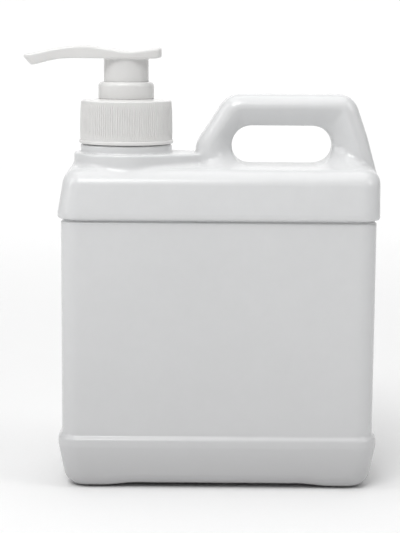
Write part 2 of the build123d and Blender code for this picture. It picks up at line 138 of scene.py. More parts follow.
# --------------------------------------------------------------- pump's own sizes
THREAD_PITCH = 25.4 / 6
THREAD_TURNS = 1.5
THREAD_CREST = 18.7
THREAD_FOOT = 2.2
THREAD_TOP = 1.2
THREAD_MESH_DROP = 1.9
THREAD_LAG = 20.0
THREAD_START = LAND - 1.75 - THREAD_PITCH * THREAD_TURNS
CLOSURE_BORE = 19.0
CLOSURE_WALL_LOW = 20.65
CLOSURE_WALL_HIGH = 20.3
CLOSURE_BEAD = closure_high[0] - NECK_X
BEAD_HEIGHT = 1.5
PANEL_THICK = 1.35
CONE_RISE = 0.8
CLOSURE_HOLE = 12.0
RIB_COUNT = 120
RIB_RADIUS = 0.30
RIB_OUT = 0.02
RIB_BELOW_EDGE = 0.35
CLOSURE_THREAD_HEIGHT = 1.1
CLOSURE_THREAD_FOOT = 1.7
CLOSURE_THREAD_TOP = 0.9
CLOSURE_THREAD_TURNS = 1.25
CHAPLET_STANDS = 7.5
CHAPLET_SKIRT = 11.7
CHAPLET_FLOOR_UP = 1.2
CHAPLET_BOSS = 7.2
CHAPLET_BOSS_RADIUS = 6.4
RIM = chaplet_high[0] - NECK_X
SKIRT = 10.1
SKIRT_BORE = 9.0
SKIRT_ROOM = 0.3
STEM = 4.5
STEM_FIT = 0.1
SOCKET = 5.9
UNDERSIDE = head_high[2] - 5.8
TIP_U = head_low[0] - NECK_X
TAIL_U = head_high[0] - NECK_X
PAD_HALF = 11.2
SPOUT_HALF = 4.7
TAIL_HALF = 8.2
HEAD_ROUND = 1.3
CHANNEL = 1.5
SPRING_COIL = 5.0
SPRING_WIRE = 0.45
SPRING_COILS = 9.0


# ---------------------------------------------------------------- distance fields
def rounded_rectangle(x, y, half_x, half_y, corner):
    """Distance to a rounded rectangle, negative inside."""
    out_x = np.abs(x) - half_x + corner
    out_y = np.abs(y) - half_y + corner
    inside = np.minimum(np.maximum(out_x, out_y), 0)
    return inside + np.hypot(np.maximum(out_x, 0), np.maximum(out_y, 0)) - corner


def both(first, second, radius):
    """Intersection whose edge is rounded to a radius."""
    corner = np.hypot(np.maximum(first + radius, 0), np.maximum(second + radius, 0))
    return np.minimum(np.maximum(first, second), -radius) + corner


def either(first, second, blend):
    """Union with a soft hollow where the two meet, blend wide on each side."""
    near = np.maximum(blend - np.abs(first - second), 0) / blend
    return np.minimum(first, second) - near * near * blend / 4


def outside_of(first, second, blend):
    """Intersection whose edge is softened, blend wide on each side."""
    near = np.maximum(blend - np.abs(first - second), 0) / blend
    return np.maximum(first, second) + near * near * blend / 4


def ramp(value, start, end):
    """Smooth step from 0 at start to 1 at end."""
    share = np.clip((value - start) / (end - start), 0, 1)
    return share * share * (3 - 2 * share)


def tapered_bar(x, y, start_x, start_radius, end_x, end_radius):
    """Distance to the outline round two circles on the X axis."""
    length = end_x - start_x
    lean = (start_radius - end_radius) / length
    level = math.sqrt(1 - lean * lean)
    along = x - start_x
    across = np.abs(y)
    turned = -lean * across + level * along
    near_start = np.hypot(along, across) - start_radius
    near_end = np.hypot(along - length, across) - end_radius
    between = level * across + lean * along - start_radius
    return np.where(turned < 0, near_start, np.where(turned > level * length, near_end, between))


def half_plane(x, z, from_point, to_point):
    """Distance to the left of the line between two (x, z) points."""
    run = np.subtract(to_point, from_point)
    normal = np.array([-run[1], run[0]]) / np.hypot(*run)
    return (x - from_point[0]) * normal[0] + (z - from_point[1]) * normal[1]


def band_field(x, y, z):
    """The can below its deck: foot band, label panel and shoulder band."""
    centred = x - BODY_X
    foot_in = FOOT_DRAFT * np.maximum(FOOT_WIDEST - z, 0)
    foot = rounded_rectangle(centred, y, FOOT_HALF_X - foot_in, FOOT_HALF_Y - foot_in, BAND_CORNER)
    arch = BASE_ARCH * ramp(-np.abs(centred), -FOOT_FLAT, -FOOT_FLAT + ARCH_RUN)
    foot = both(both(foot, arch - z, BASE_ROUND), z - FOOT_TOP, FOOT_EDGE)
    band_in = BAND_DRAFT * np.maximum(z - BAND_WIDEST, 0)
    shift = band_in / 2    # the right side keeps its width, and the left side takes the draft
    half_x, half_y = FOOT_HALF_X - BAND_STEP - shift, FOOT_HALF_Y - BAND_STEP - band_in
    band = rounded_rectangle(centred - shift, y, half_x, half_y, BAND_CORNER)
    crown = SHOULDER - CROWN * (y / CROWN_REACH) ** 2
    band = both(band, z - crown, BAND_ROUND)
    band = both(band, BAND_LIP - z, LIP_ROUND)
    panel = rounded_rectangle(centred, y, FOOT_HALF_X - PANEL_STEP, FOOT_HALF_Y - PANEL_STEP, PANEL_CORNER)
    panel = panel + LIP_GROOVE * np.exp(-np.abs((z - BAND_LIP) / GROOVE_HEIGHT) ** 3)
    panel = np.maximum(panel, np.maximum(FOOT_WIDEST - z, z - BAND_WIDEST - PANEL_ROOT))
    return either(either(foot, panel, FOOT_FILLET), band, LIP_FILLET)


def outline_distance(x, z, outline):
    """Signed distance to a closed outline of (x, z) points, negative inside."""
    x, z = np.broadcast_arrays(x, z)
    nearest = np.full(x.shape, 1e9)
    inside = np.zeros(x.shape, bool)
    for (x0, z0), (x1, z1) in zip(outline, np.roll(outline, -1, axis=0)):
        run = (x1 - x0) ** 2 + (z1 - z0) ** 2
        share = np.clip(((x - x0) * (x1 - x0) + (z - z0) * (z1 - z0)) / run, 0, 1)
        off_x, off_z = x - x0 - share * (x1 - x0), z - z0 - share * (z1 - z0)
        nearest = np.minimum(nearest, off_x ** 2 + off_z ** 2)
        if z0 != z1:
            inside ^= ((z0 > z) != (z1 > z)) & (x < x0 + (z - z0) * (x1 - x0) / (z1 - z0))
    return np.where(inside, -1, 1) * np.sqrt(nearest)


def rounded(corners):
    """A closed outline from (x, y, radius) corners, each rounded to its radius."""
    outline = []
    for index, (x, y, radius) in enumerate(corners):
        corner = np.array((x, y), float)
        back = np.array(corners[index - 1][:2], float) - corner
        ahead = np.array(corners[(index + 1) % len(corners)][:2], float) - corner
        back, ahead = back / np.hypot(*back), ahead / np.hypot(*ahead)
        if radius == 0:
            outline.append(corner)
            continue
        half = math.acos(np.clip(back @ ahead, -1, 1)) / 2
        centre = corner + (back + ahead) / np.hypot(*(back + ahead)) * radius / math.sin(half)
        spokes = [corner + way * radius / math.tan(half) - centre for way in (back, ahead)]
        first, last = (math.atan2(spoke[1], spoke[0]) for spoke in spokes)
        sweep = (last - first + math.pi) % (2 * math.pi) - math.pi
        for share in np.linspace(0, 1, 7):
            angle = first + sweep * share
            outline.append(centre + radius * np.array((math.cos(angle), math.sin(angle))))
    return np.array(outline)


GRIP_OUTLINE = rounded([
    (GRIP_LEFT, GRIP_FLOOR, GRIP_ROUND), (GRIP_RIGHT, GRIP_FLOOR, GRIP_ROUND),
    (GRIP_RIGHT, GRIP_TOP, GRIP_ROUND), (GRIP_LEFT, GRIP_TOP, GRIP_ROUND)])
HANDLE_OUTLINE = rounded([
    (HANDLE_LEFT, SHOULDER - 20.0, 0), (HANDLE_LEFT, SHOULDER + 9.0, 12.0),
    (BODY_X + 4.0, HANDLE_TOP, 11.0), (BODY_X + 60.0, HANDLE_TOP, 9.0),
    (BODY_X + 66.6, SHOULDER + 12.9, 40.0), (BODY_X + 71.8, SHOULDER - 5.7, 30.0),
    (BODY_X + 71.3, SHOULDER - 20.0, 0)])


def handle_field(x, y, z):
    """The handle's loop: a soft bar that thins towards the finger opening."""
    side = np.abs(y)
    outline = outline_distance(x, z, HANDLE_OUTLINE)
    loop = both(outline, side - HANDLE_HALF_Y, HANDLE_ROUND)
    grip = outline_distance(x, z, GRIP_OUTLINE)
    to_grip = np.maximum(grip, 0)
    to_ridge = np.maximum(-outline - RIDGE_INSET, 0)
    share = to_grip / (to_grip + to_ridge + 1e-6)
    rise = HANDLE_HALF_Y - GRIP_HALF_Y - RIDGE_SWELL / 2
    funnel = (side - GRIP_HALF_Y - rise * share - RIDGE_SWELL * share ** 4) * FUNNEL_SLOPE
    return both(outside_of(loop, funnel, RIDGE_SOFT), BAND_WIDEST + HANDLE_ROOT - z, HANDLE_ROOT)


def can_field(x, y, z):
    """The outside of the whole moulding below its threaded finish."""
    can = band_field(x, y, z)
    deck = both(tapered_bar(x, y, NECK_X, DECK_RADIUS, DECK_END_X, DECK_END_RADIUS), z - DECK, DECK_EDGE)
    deck = np.maximum(deck, SHOULDER - DECK_ROOT - z)
    can = either(can, deck, DECK_FILLET)
    neck = both(np.hypot(x - NECK_X, y) - NECK_BASE_RADIUS, z - NECK_BASE, NECK_EDGE)
    neck = np.maximum(neck, DECK - NECK_ROOT - z)
    can = either(can, neck, CRISP_FILLET)
    from_left = ramp(x, HANDLE_LEFT - 1.0, HANDLE_LEFT + 12.0)
    from_right = 1 - ramp(x, BODY_X + 56.0, BODY_X + 69.0)
    blend = CRISP_FILLET + (SOFT_FILLET - CRISP_FILLET) * from_left * from_right
    can = either(can, handle_field(x, y, z), blend)
    can = outside_of(can, -outline_distance(x, z, GRIP_OUTLINE), GRIP_EDGE)
    seam = SEAM_HEIGHT * np.exp(-(y / SEAM_WIDTH) ** 2) * ramp(z, 2.0, 5.0)
    return can - seam


# ------------------------------------------------------------- fields to meshes
def lines(*stretches):
    """Grid lines from (start, end, spacing) stretches laid end to end."""
    parts = [np.linspace(a, b, max(2, int(round((b - a) / step)) + 1))[:-1] for a, b, step in stretches]
    return np.concatenate(parts + [[stretches[-1][1]]])


def slope(field, points, step=0.02):
    """A field's gradient at some points."""
    result = np.empty_like(points)
    for axis in range(3):
        shift = np.zeros(3)
        shift[axis] = step
        ahead, behind = points + shift, points - shift
        result[:, axis] = (field(*ahead.T) - field(*behind.T)) / (2 * step)
    return result


def skin(field, x_lines, y_lines, z_lines, level=0.0, settle=4):
    """Vertices and quads of the surface where field == level, one vertex in each crossed cell."""
    grid = np.meshgrid(x_lines, y_lines, z_lines, indexing="ij", sparse=True)
    value = field(*grid) - level
    inside = value < 0
    shape = np.array(value.shape) - 1
    total = np.zeros((*shape, 3))
    count = np.zeros(shape)
    axis_lines = (x_lines, y_lines, z_lines)
    crossings = []
    for axis in range(3):
        low = [slice(None)] * 3
        high = [slice(None)] * 3
        low[axis], high[axis] = slice(None, -1), slice(1, None)
        low, high = tuple(low), tuple(high)
        crossed = inside[low] != inside[high]
        where = np.argwhere(crossed)
        v0, v1 = value[low][crossed], value[high][crossed]
        share = v0 / (v0 - v1)
        point = np.stack([axis_lines[k][where[:, k]] for k in range(3)], axis=1)
        step = axis_lines[axis][where[:, axis] + 1] - axis_lines[axis][where[:, axis]]
        point[:, axis] += share * step
        others = [k for k in range(3) if k != axis]
        for da in (0, 1):
            for db in (0, 1):
                cell = where.copy()
                cell[:, others[0]] -= da
                cell[:, others[1]] -= db
                keep = ((cell >= 0) & (cell < shape)).all(axis=1)
                index = tuple(cell[keep].T)
                np.add.at(total, index, point[keep])
                np.add.at(count, index, 1)
        crossings.append((axis, where, inside[low][crossed]))
    used = count > 0
    number = np.full(shape, -1)
    number[used] = np.arange(used.sum())
    points = total[used] / count[used][:, None]
    quads = []
    for axis, where, starts_inside in crossings:
        a, b = [k for k in range(3) if k != axis]
        ring = []
        for da, db in ((0, 0), (1, 0), (1, 1), (0, 1)):
            cell = where.copy()
            cell[:, a] -= da
            cell[:, b] -= db
            ring.append(cell)
        keep = np.ones(len(where), bool)
        for cell in ring:
            keep &= ((cell >= 0) & (cell < shape)).all(axis=1)
        faces = np.stack([number[tuple(cell[keep].T)] for cell in ring], axis=1)
        flip = starts_inside[keep] == (axis == 1)
        faces[flip] = faces[flip][:, ::-1]
        quads.append(faces)
    for _ in range(settle):
        gradient = slope(field, points)
        error = field(*points.T) - level
        points = points - gradient * (error / np.maximum((gradient ** 2).sum(axis=1), 0.05))[:, None]
    return points, np.concatenate(quads)


def mesh_piece(name, *shells, sharp=40.0):
    """A new object from (points, faces) shells in millimetres, creased past an angle."""
    mesh = bpy.data.meshes.new(name)
    points, faces, start = [], [], 0
    for shell_points, shell_faces in shells:
        points.extend((np.asarray(shell_points) * MM).tolist())
        faces.extend([[corner + start for corner in face] for face in np.asarray(shell_faces).tolist()])
        start = len(points)
    mesh.from_pydata(points, [], faces)
    mesh.polygons.foreach_set("use_smooth", [True] * len(mesh.polygons))
    mesh.set_sharp_from_angle(angle=math.radians(sharp))
    piece = bpy.data.objects.new(name, mesh)
    bpy.context.scene.collection.objects.link(piece)
    return piece


def settled(piece):
    """Replace a piece's live modifiers by their result."""
    evaluated = piece.evaluated_get(bpy.context.evaluated_depsgraph_get())
    mesh = bpy.data.meshes.new_from_object(evaluated)
    piece.modifiers.clear()
    piece.data = mesh
    mesh.name = piece.name
    return piece


def cut_or_join(piece, other, operation):
    """Join another closed shape to a piece, or cut it away, and drop the other."""
    step = piece.modifiers.new(operation.lower(), "BOOLEAN")
    step.operation = operation
    step.solver = "MANIFOLD"
    step.object = other
    settled(piece)
    bpy.data.objects.remove(other)


# ------------------------------------------------------------------- turned shapes
def turned(corners, segments=192):
    """A closed outline of (radius, height, corner radius) turned about the pump's axis."""
    outline = rounded(corners)
    nexts = np.roll(outline, -1, axis=0)
    if (outline[:, 0] * nexts[:, 1] - nexts[:, 0] * outline[:, 1]).sum() < 0:
        outline = outline[::-1]
    rows = len(outline)
    angle = np.arange(segments) * 2 * math.pi / segments
    points = np.empty((segments, rows, 3))
    points[..., 0] = NECK_X + np.outer(np.cos(angle), outline[:, 0])
    points[..., 1] = np.outer(np.sin(angle), outline[:, 0])
    points[..., 2] = outline[:, 1]
    at = np.arange(segments * rows).reshape(segments, rows)
    beside, above = np.roll(at, -1, axis=0), np.roll(at, -1, axis=1)
    across = np.roll(beside, -1, axis=1)
    faces = np.stack([at, beside, across, above], axis=-1).reshape(-1, 4)
    return points.reshape(-1, 3), faces


def bar(name, radius, bottom, top, chamfer=0.3, segments=192):
    """A closed round bar on the pump's axis, its upper edge chamfered, as an object."""
    rows = [(radius, bottom), (radius, top - chamfer), (radius - chamfer, top)]
    angles = np.arange(segments) * 2 * math.pi / segments
    points = [(NECK_X + r * math.cos(angle), r * math.sin(angle), z) for r, z in rows for angle in angles]
    foot, crown = len(points), len(points) + 1
    points += [(NECK_X, 0, bottom), (NECK_X, 0, top)]
    last = (len(rows) - 1) * segments
    sides, ends = [], []
    for i in range(segments):
        j = (i + 1) % segments
        ends += [(foot, j, i), (crown, last + i, last + j)]
        for low in range(0, last, segments):
            sides.append((low + i, low + j, low + segments + j, low + segments + i))
    mesh = bpy.data.meshes.new(name)
    mesh.from_pydata([tuple(np.array(point) * MM) for point in points], [], sides + ends)
    piece = bpy.data.objects.new(name, mesh)
    bpy.context.scene.collection.objects.link(piece)
    return piece


def thread_ridge(root, crest, foot, top, start, turns, first_angle=0.0, per_turn=96):
    """A helical ridge on the wall at root, dying away at both ends."""
    steps = int(per_turn * turns)
    sink = 0.2 if crest > root else -0.2
    points = []
    faces = []
    for step in range(steps + 1):
        turn = turns * step / steps
        angle = math.radians(first_angle) + turn * 2 * math.pi
        rise = min(1.0, min(step, steps - step) / (per_turn * 0.06) + 0.02)
        reach = root - sink + (crest - root + sink) * rise
        middle = start + THREAD_PITCH * turn
        section = ((root - sink, -foot / 2), (reach, -top / 2), (reach, top / 2), (root - sink, foot / 2))
        for radius, height in section:
            points.append((NECK_X + radius * math.cos(angle), radius * math.sin(angle), middle + height))
    for step in range(steps):
        for k in range(4):
            a, b = step * 4 + k, step * 4 + (k + 1) % 4
            faces.append((a, a + 4, b + 4, b) if crest > root else (a, b, b + 4, a + 4))
    ends = [(0, 1, 2, 3), (steps * 4 + 3, steps * 4 + 2, steps * 4 + 1, steps * 4)]
    faces += ends if crest > root else [end[::-1] for end in ends]
    return points, faces


# --------------------------------------------------------------------------- head
def smooth_curve(at, knots):
    """A smooth curve through (x, y) knots in rising x, by cubic pieces."""
    x, y = np.array(knots, float).T
    lean = np.gradient(y, x)
    index = np.clip(np.searchsorted(x, at) - 1, 0, len(x) - 2)
    span = x[index + 1] - x[index]
    t = np.clip((at - x[index]) / span, 0, 1)
    curve = (2 * t ** 3 - 3 * t ** 2 + 1) * y[index] + (t ** 3 - 2 * t ** 2 + t) * span * lean[index]
    return curve + (3 * t ** 2 - 2 * t ** 3) * y[index + 1] + (t ** 3 - t ** 2) * span * lean[index + 1]


# Heights above the head's underside at distances from the pump's axis, spout first.
PAD_TOP = [(-47.2, 1.25), (-43.3, 2.05), (-38.8, 3.05), (-34.3, 4.05), (-29.8, 4.85), (-25.3, 5.5),
           (-20.8, 5.75), (-16.3, 5.75), (-11.8, 5.35), (-6.4, 4.7), (-2.8, 4.05), (1.6, 3.65),
           (6.1, 3.95), (10.6, 4.45), (15.1, 4.95), (16.6, 5.1)]
PAD_UNDER = [(-47.2, -4.4), (-42.7, -3.25), (-38.9, -2.3), (-34.4, -1.15), (-29.8, -0.35), (-24.0, -0.02),
             (-18.0, 0.0), (0.0, 0.0), (10.0, 0.0), (13.5, 0.15), (16.6, 0.7)]
PAD_HALVES = [(-47.2, SPOUT_HALF), (-34.0, SPOUT_HALF + 0.1), (-26.0, SPOUT_HALF + 0.5), (-20.0, 6.5),
              (-12.0, 9.6), (-5.0, 11.0), (0.0, PAD_HALF), (6.0, 10.8), (11.0, 9.8), (16.6, TAIL_HALF)]
CHANNEL_PATH = [(0.0, -3.0), (0.0, 1.8), (-9.0, 2.6), (-19.0, 2.9), (-34.0, 1.6), (-44.0, -1.6),
                (-46.2, -3.2)]


def head_field(x, y, z):
    """The push-down head: finger pad and spout, skirt, stem socket and liquid channel."""
    u, up, side = x - NECK_X, z - UNDERSIDE, np.abs(y)
    radius = np.hypot(u, y)
    crown = up - smooth_curve(u, PAD_TOP) + 0.35 * (side / PAD_HALF) ** 2
    under = smooth_curve(u, PAD_UNDER) - up
    tip = half_plane(u, up, (TIP_U + 4.0, -3.25), (TIP_U, 1.35))
    flank = (side - smooth_curve(u, PAD_HALVES)) * 0.95
    outline = both(np.maximum(tip, TIP_U - u), u - TAIL_U, 1.0)
    pad = both(both(both(outline, flank, 2.5), crown, HEAD_ROUND), under, 0.7)
    skirt = both(radius - SKIRT, head_low[2] - z, 0.35)
    skirt = np.maximum(skirt, up - 1.0)
    hollow = np.maximum(radius - SKIRT_BORE, up + 0.02)
    socket = np.maximum(np.maximum(radius - SOCKET, UNDERSIDE - 8.2 - z), up - 1.0)
    head = either(pad, np.maximum(skirt, -hollow), 0.5)
    head = np.minimum(head, socket)
    head = np.maximum(head, -np.maximum(radius - STEM, up + 2.7))
    channel = np.full(np.shape(head), 99.0)
    for (u0, z0), (u1, z1) in zip(CHANNEL_PATH, CHANNEL_PATH[1:]):
        run = (u1 - u0) ** 2 + (z1 - z0) ** 2
        share = np.clip(((u - u0) * (u1 - u0) + (up - z0) * (z1 - z0)) / run, 0, 1)
        away = np.sqrt((u - u0 - share * (u1 - u0)) ** 2 + (up - z0 - share * (z1 - z0)) ** 2 + y ** 2)
        channel = np.minimum(channel, away - CHANNEL)
    return np.maximum(head, -channel)


# ----------------------------------------------------------------- geometry trees
class Tree:
    """A Geometry Nodes tree under construction."""

    def __init__(self, name, inputs):
        self.tree = bpy.data.node_groups.new(name, "GeometryNodeTree")
        self.identifiers = {}
        for label, (kind, value) in inputs.items():
            socket = self.tree.interface.new_socket(label, in_out="INPUT", socket_type=kind)
            if value is not None:
                socket.default_value = value
            self.identifiers[label] = socket.identifier
        self.tree.interface.new_socket("Geometry", in_out="OUTPUT", socket_type="NodeSocketGeometry")
        self.given = self.tree.nodes.new("NodeGroupInput")

    def node(self, kind, sockets=None, settings=None, output=0):
        """Add a node: settings first, then the values or links of its sockets."""
        node = self.tree.nodes.new(kind)
        for key, value in (settings or {}).items():
            setattr(node, key, value)
        for key, value in (sockets or {}).items():
            if isinstance(value, bpy.types.NodeSocket):
                self.tree.links.new(value, node.inputs[key])
            else:
                node.inputs[key].default_value = value
        return node.outputs[output]

    def size(self, label):
        return self.given.outputs[label]

    def maths(self, operation, first, second=0.0):
        return self.node("ShaderNodeMath", {0: first, 1: second}, {"operation": operation})

    def vector(self, x=0.0, y=0.0, z=0.0):
        return self.node("ShaderNodeCombineXYZ", {"X": x, "Y": y, "Z": z})

    def close(self, geometry):
        """End in Realize Instances and Set Material."""
        whole = self.node("GeometryNodeRealizeInstances", {"Geometry": geometry})
        smooth = self.node("GeometryNodeSetShadeSmooth", {"Geometry": whole})
        dressed = self.node("GeometryNodeSetMaterial", {"Geometry": smooth, "Material": self.size("Finish")})
        out = self.tree.nodes.new("NodeGroupOutput")
        self.tree.links.new(dressed, out.inputs[0])

    def make(self, name, values):
        """The tree's result as a plain mesh object."""
        piece = mesh_piece(name, ([(0, 0, 0), (0, 1, 0), (1, 0, 0)], [(0, 1, 2)]))
        step = piece.modifiers.new(name, "NODES")
        step.node_group = self.tree
        for label, value in values.items():
            step[self.identifiers[label]] = value
        return settled(piece)


def rib_tree():
    """Half-round ribs that stand round a tapered wall."""
    tree = Tree("closure_ribs", {
        "Count": ("NodeSocketInt", 12), "Low Radius": ("NodeSocketFloat", 0.02),
        "High Radius": ("NodeSocketFloat", 0.02), "Bottom": ("NodeSocketFloat", 0.0),
        "Top": ("NodeSocketFloat", 0.01), "Rib Radius": ("NodeSocketFloat", 0.0003),
        "Axis X": ("NodeSocketFloat", 0.0), "Finish": ("NodeSocketMaterial", None)})
    line = tree.node("GeometryNodeCurvePrimitiveLine", {
        "Start": tree.vector(tree.size("Low Radius"), 0.0, tree.size("Bottom")),
        "End": tree.vector(tree.size("High Radius"), 0.0, tree.size("Top"))})
    stretched = tree.node("GeometryNodeResampleCurve", {"Curve": line, "Count": 6})
    share = tree.node("GeometryNodeSplineParameter")
    from_end = tree.maths("MINIMUM", share, tree.maths("SUBTRACT", 1.0, share))
    swell = tree.maths("MINIMUM", 1.0, tree.maths("ADD", tree.maths("MULTIPLY", from_end, 5.0), 0.15))
    tapered = tree.node("GeometryNodeSetCurveRadius", {"Curve": stretched, "Radius": swell})
    section = tree.node("GeometryNodeCurvePrimitiveCircle", {
        "Resolution": 8, "Radius": tree.size("Rib Radius")})
    rib = tree.node("GeometryNodeCurveToMesh", {
        "Curve": tapered, "Profile Curve": section, "Scale": swell, "Fill Caps": True})
    places = tree.node("GeometryNodePoints", {"Count": tree.size("Count")})
    share_of_turn = tree.maths("DIVIDE", tree.node("GeometryNodeInputIndex"), tree.size("Count"))
    turn = tree.maths("MULTIPLY", share_of_turn, 2 * math.pi)
    ribs = tree.node("GeometryNodeInstanceOnPoints", {"Points": places, "Instance": rib})
    around = tree.node("GeometryNodeRotateInstances", {
        "Instances": ribs, "Rotation": tree.vector(0.0, 0.0, turn), "Local Space": True})
    moved = tree.node("GeometryNodeTranslateInstances", {
        "Instances": around, "Translation": tree.vector(tree.size("Axis X")), "Local Space": False})
    tree.close(moved)
    return tree


def coil_tree():
    """A round wire wound evenly into a spring."""
    tree = Tree("return_spring", {
        "Turns": ("NodeSocketFloat", 8.0), "Coil Radius": ("NodeSocketFloat", 0.005),
        "Length": ("NodeSocketFloat", 0.03), "Wire Radius": ("NodeSocketFloat", 0.0005),
        "Axis X": ("NodeSocketFloat", 0.0), "Foot": ("NodeSocketFloat", 0.0),
        "Finish": ("NodeSocketMaterial", None)})
    spiral = tree.node("GeometryNodeCurveSpiral", {
        "Resolution": 40, "Rotations": tree.size("Turns"), "Start Radius": tree.size("Coil Radius"),
        "End Radius": tree.size("Coil Radius"), "Height": tree.size("Length")})
    section = tree.node("GeometryNodeCurvePrimitiveCircle", {
        "Resolution": 12, "Radius": tree.size("Wire Radius")})
    wire = tree.node("GeometryNodeCurveToMesh", {
        "Curve": spiral, "Profile Curve": section, "Fill Caps": True})
    moved = tree.node("GeometryNodeTransform", {
        "Geometry": wire, "Translation": tree.vector(tree.size("Axis X"), 0.0, tree.size("Foot"))})
    tree.close(moved)
    return tree


# ----------------------------------------------------------------------- finishes
class Value:
    """A shader socket. Arithmetic on it adds the Math nodes."""

    def __init__(self, finish, socket):
        self.finish = finish
        self.socket = socket

    def maths(self, operation, first, second=0.0):
        return self.finish.node("ShaderNodeMath", {"operation": operation}, {0: first, 1: second})

    def __add__(self, other):
        return self.maths("ADD", self, other)

    def __sub__(self, other):
        return self.maths("SUBTRACT", self, other)

    def __rsub__(self, other):
        return self.maths("SUBTRACT", other, self)

    def __mul__(self, other):
        return self.maths("MULTIPLY", self, other)

    def __truediv__(self, other):
        return self.maths("DIVIDE", self, other)

    __radd__ = __add__
    __rmul__ = __mul__


class Finish:
    """A material under construction."""

    def __init__(self, name, **constants):
        self.material = bpy.data.materials.new(name)
        self.material.use_nodes = True
        self.tree = self.material.node_tree
        self.shader = self.tree.nodes["Principled BSDF"]
        for key, value in constants.items():
            self.shader.inputs[key.replace("_", " ")].default_value = value

    def node(self, kind, settings=None, sockets=None, output=0):
        """Add a node: its settings first, then the values or links of its sockets."""
        node = self.tree.nodes.new(kind)
        for key, value in (settings or {}).items():
            setattr(node, key, value)
        for key, value in (sockets or {}).items():
            if isinstance(value, Value):
                self.tree.links.new(value.socket, node.inputs[key])
            else:
                node.inputs[key].default_value = value
        return Value(self, node.outputs[output])

    def place(self, stretch=(1.0, 1.0, 1.0)):
        """Object coordinates in metres, each axis scaled by its own amount."""
        where = self.node("ShaderNodeTexCoord", output="Object")
        return self.node("ShaderNodeMapping", {"vector_type": "POINT"}, {"Vector": where, "Scale": stretch})

    def noise(self, scale, detail=3.0, rough=0.5, stretch=(1.0, 1.0, 1.0)):
        """Noise about 0.5, in features per metre."""
        return self.node("ShaderNodeTexNoise", {"noise_dimensions": "3D"}, {
            "Vector": self.place(stretch), "Scale": scale, "Detail": detail, "Roughness": rough})

    def between(self, value, low, high, start=0.3, end=0.7):
        """Map start to end onto low to high."""
        return self.node("ShaderNodeMapRange", {"clamp": True}, {
            "Value": value, "From Min": start, "From Max": end, "To Min": low, "To Max": high})

    def tint(self, share, first, second):
        """A colour between two, by share. The first may itself be a socket's colour."""
        first = first if isinstance(first, Value) else (*first, 1.0)
        return self.node("ShaderNodeMix", {"data_type": "RGBA"}, {
            0: share, 6: first, 7: (*second, 1.0)}, output=2)

    def feed(self, name, value):
        self.tree.links.new(value.socket, self.shader.inputs[name])

    def bump(self, height, depth, strength=1.0):
        """Surface relief, where height 0 to 1 stands depth metres tall."""
        self.feed("Normal", self.node("ShaderNodeBump", None, {
            "Height": height, "Distance": depth, "Strength": strength}))


def studio_paper():
    """Pale matt paper."""
    paper = Finish("studio_paper", Roughness=0.9, Specular_IOR_Level=0.1)
    grain = paper.noise(900.0, 4.0)
    paper.feed("Base Color", paper.tint(grain, (0.86, 0.86, 0.86), (0.90, 0.90, 0.90)))
    paper.bump(grain, 0.0001, 0.2)
    return paper.material


def moulded(name, deep, pale, rough, peel, foot_shade_tone=None, **constants):
    """Moulded plastic: cloudy colour, uneven gloss and a faint rippled skin.

    A foot shade tone paints shade into the wall's colour: the wall greys towards its foot, from 135 mm high
    down, and most in the lowest 26 mm.
    """
    plastic = Finish(name, **constants)
    mottle = plastic.noise(160.0, 3.0, 0.6)
    cloud = plastic.noise(14.0, 2.0) * 0.6 + mottle * 0.4
    colour = plastic.tint(plastic.between(cloud, 0.0, 1.0), deep, pale)
    if foot_shade_tone:
        # Painted shade: the colour is mixed towards the foot shade tone as the height falls, and most
        # strongly near the base edge.
        height = plastic.node("ShaderNodeSeparateXYZ", None, {0: plastic.place()}, output=2)
        base_edge_shade = plastic.between(height, 0.55, 0.0, 0.0, 0.026)
        foot_shade_share = plastic.between(height, 0.45, 0.0, 0.020, 0.135) + base_edge_shade
        colour = plastic.tint(foot_shade_share, colour, foot_shade_tone)
    plastic.feed("Base Color", colour)
    gloss = mottle * 0.5 + plastic.noise(900.0, 2.0) * 0.5
    plastic.feed("Roughness", plastic.between(gloss, rough - 0.04, rough + 0.05))
    plastic.bump(plastic.noise(420.0, 2.0) * 0.7 + plastic.noise(2600.0, 1.0) * 0.3, peel, 0.5)
    return plastic.material


def drawn_steel(name, pale, rough, stretch):
    """Bright steel with fine drawing or grinding lines."""
    steel = Finish(name, Metallic=1.0)
    grain = steel.noise(1800.0, 3.0, 0.6, stretch)
    deep = tuple(channel * 0.86 for channel in pale)
    steel.feed("Base Color", steel.tint(steel.between(grain, 0.0, 1.0), deep, pale))
    steel.feed("Roughness", steel.between(grain, rough - 0.05, rough + 0.08))
    steel.bump(grain, 0.00001, 0.4)
    return steel.material


def foamed(name):
    """Foamed sealing sheet with small closed cells."""
    foam = Finish(name, Roughness=0.75)
    cells = foam.node("ShaderNodeTexVoronoi", {"feature": "F1"}, {"Vector": foam.place(), "Scale": 2600.0})
    share = foam.between(cells, 0.0, 1.0, 0.0, 0.9)
    foam.feed("Base Color", foam.tint(share, (0.80, 0.80, 0.78), (0.92, 0.92, 0.90)))
    foam.bump(cells, 0.00008, 0.6)
    return foam.material


